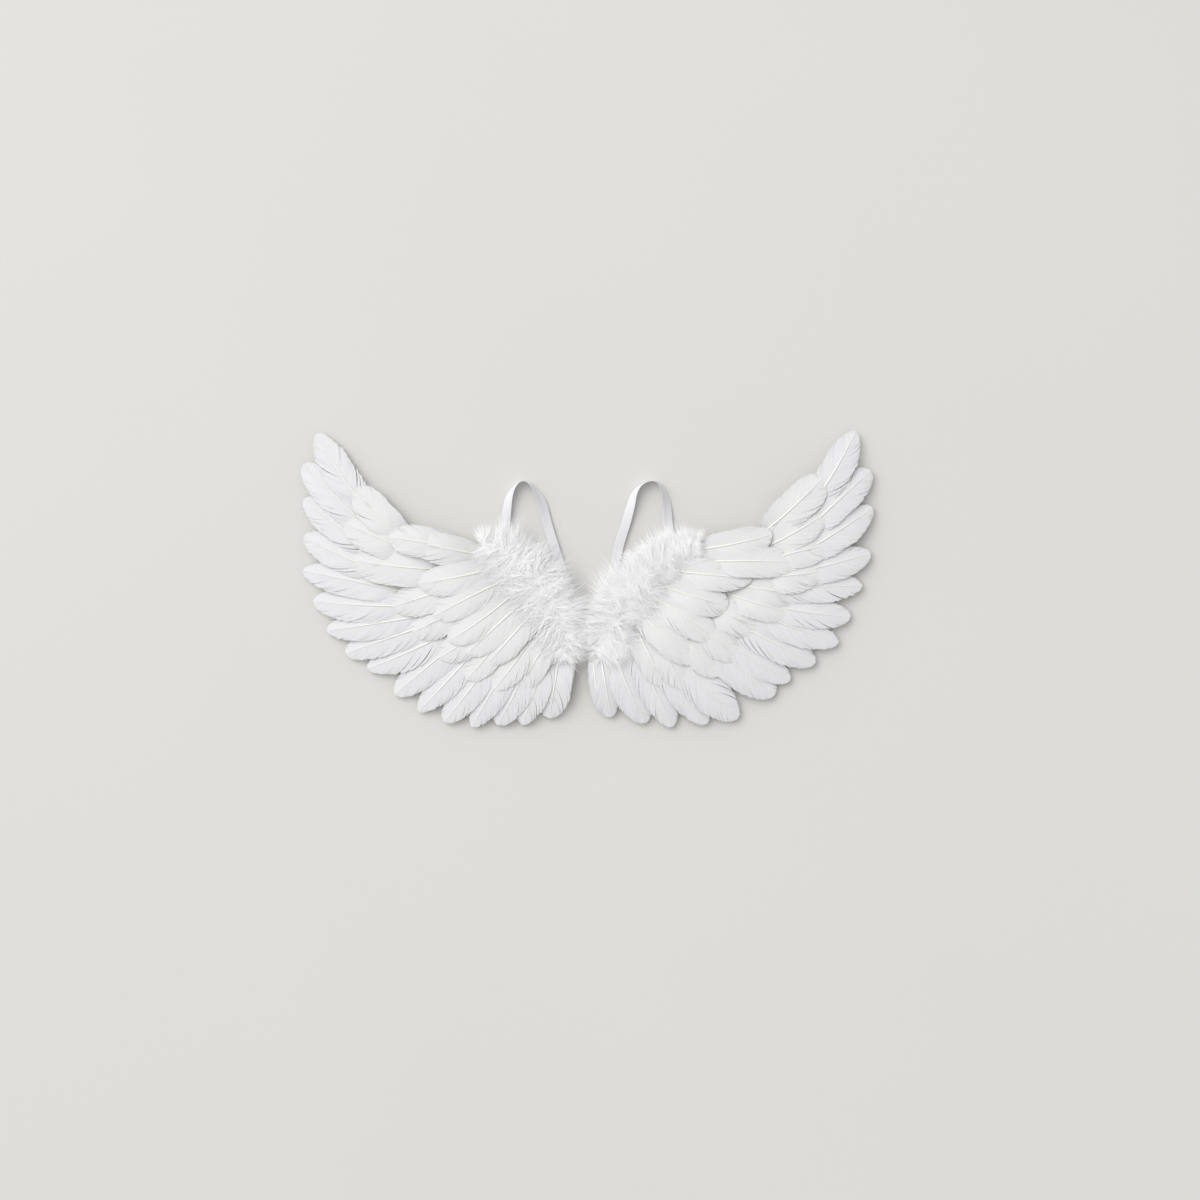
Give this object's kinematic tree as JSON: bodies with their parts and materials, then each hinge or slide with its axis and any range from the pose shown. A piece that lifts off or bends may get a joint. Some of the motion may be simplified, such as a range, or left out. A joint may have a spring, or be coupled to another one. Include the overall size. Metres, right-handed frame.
{
  "type": "feather costume wings",
  "caption": "Pair of white feather costume wings with layered rows of feathers on one back panel, a fluffy marabou trim at the centre and elastic arm loops.",
  "frame": {"origin": "Middle of the overall box, on the surface that the wings lie on, which is the underside of the back panel.", "axes": "+X along the span towards the wing on the picture's right, +Y towards the tops of the wings and the arm loops, +Z out of the feathered front."},
  "size_m": [0.6024, 0.3127, 0.0269],
  "materials": {
    "felt": "off-white felt",
    "flight_feather": "white feather vane with a cream shaft",
    "covert_feather": "white feather vane with a cream shaft, on a white tape",
    "marabou": "white marabou down",
    "elastic": "white woven elastic"
  },
  "bodies": {
    "root": {"back_panel": "felt", "left_flight_01": "flight_feather", "left_flight_02": "flight_feather", "left_flight_03": "flight_feather", "left_flight_04": "flight_feather", "left_flight_05": "flight_feather", "left_flight_06": "flight_feather", "left_flight_07": "flight_feather", "left_flight_08": "flight_feather", "left_flight_09": "flight_feather", "left_flight_10": "flight_feather", "left_flight_11": "flight_feather", "left_flight_12": "flight_feather", "left_flight_13": "flight_feather", "left_flight_14": "flight_feather", "left_flight_15": "flight_feather", "left_flight_16": "flight_feather", "left_flight_17": "flight_feather", "right_flight_01": "flight_feather", "right_flight_02": "flight_feather", "right_flight_03": "flight_feather", "right_flight_04": "flight_feather", "right_flight_05": "flight_feather", "right_flight_06": "flight_feather", "right_flight_07": "flight_feather", "right_flight_08": "flight_feather", "right_flight_09": "flight_feather", "right_flight_10": "flight_feather", "right_flight_11": "flight_feather", "right_flight_12": "flight_feather", "right_flight_13": "flight_feather", "right_flight_14": "flight_feather", "right_flight_15": "flight_feather", "right_flight_16": "flight_feather", "left_middle_coverts": "covert_feather", "left_inner_coverts": "covert_feather", "left_marabou": "marabou", "left_arm_loop": "elastic", "right_middle_coverts": "covert_feather", "right_inner_coverts": "covert_feather", "right_marabou": "marabou", "right_arm_loop": "elastic"}
  },
  "joints": []
}
